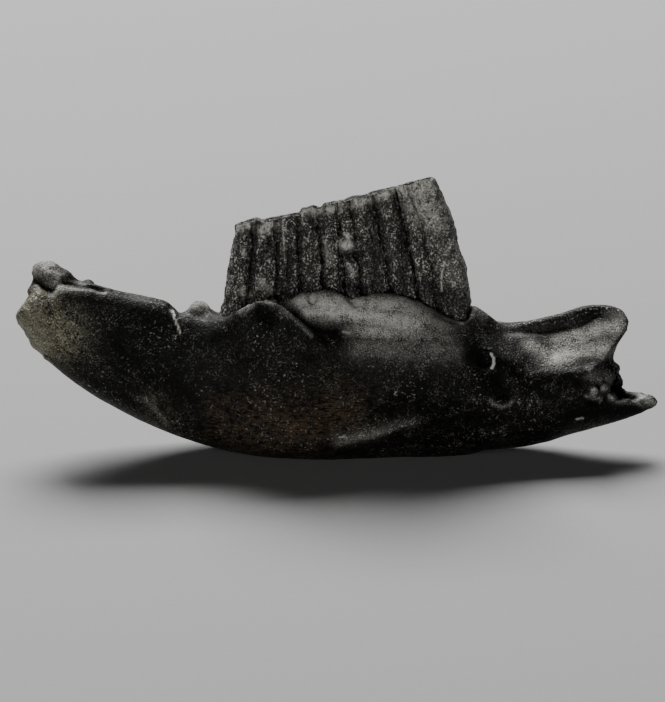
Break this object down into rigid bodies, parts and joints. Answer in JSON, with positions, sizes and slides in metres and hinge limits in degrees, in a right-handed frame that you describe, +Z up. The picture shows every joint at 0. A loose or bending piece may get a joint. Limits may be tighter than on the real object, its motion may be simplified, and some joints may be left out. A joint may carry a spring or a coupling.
{
  "type": "fossil muskrat jaw",
  "caption": "Black fossil left lower jaw of a muskrat with three ridged cheek teeth, a broken front tooth and worn rear prongs.",
  "frame": {"origin": "a point on the worn flat spot of the belly that the jaw rests on, below the first cheek tooth", "axes": "+X from the chin towards the jaw hinge, -Y the outer side of the jaw, +Z up through the cheek teeth"},
  "size_m": [0.04, 0.0083, 0.0181],
  "materials": {
    "fossil_bone": "semi-gloss black mineralised bone with brown and olive patches",
    "fossil_enamel": "semi-gloss grey-black enamel, worn",
    "fossil_stump": "satin olive-grey enamel"
  },
  "bodies": {
    "root": {"jaw_bone": "fossil_bone", "first_molar": "fossil_enamel", "second_molar": "fossil_enamel", "third_molar": "fossil_enamel", "incisor_stump": "fossil_stump"}
  },
  "joints": []
}
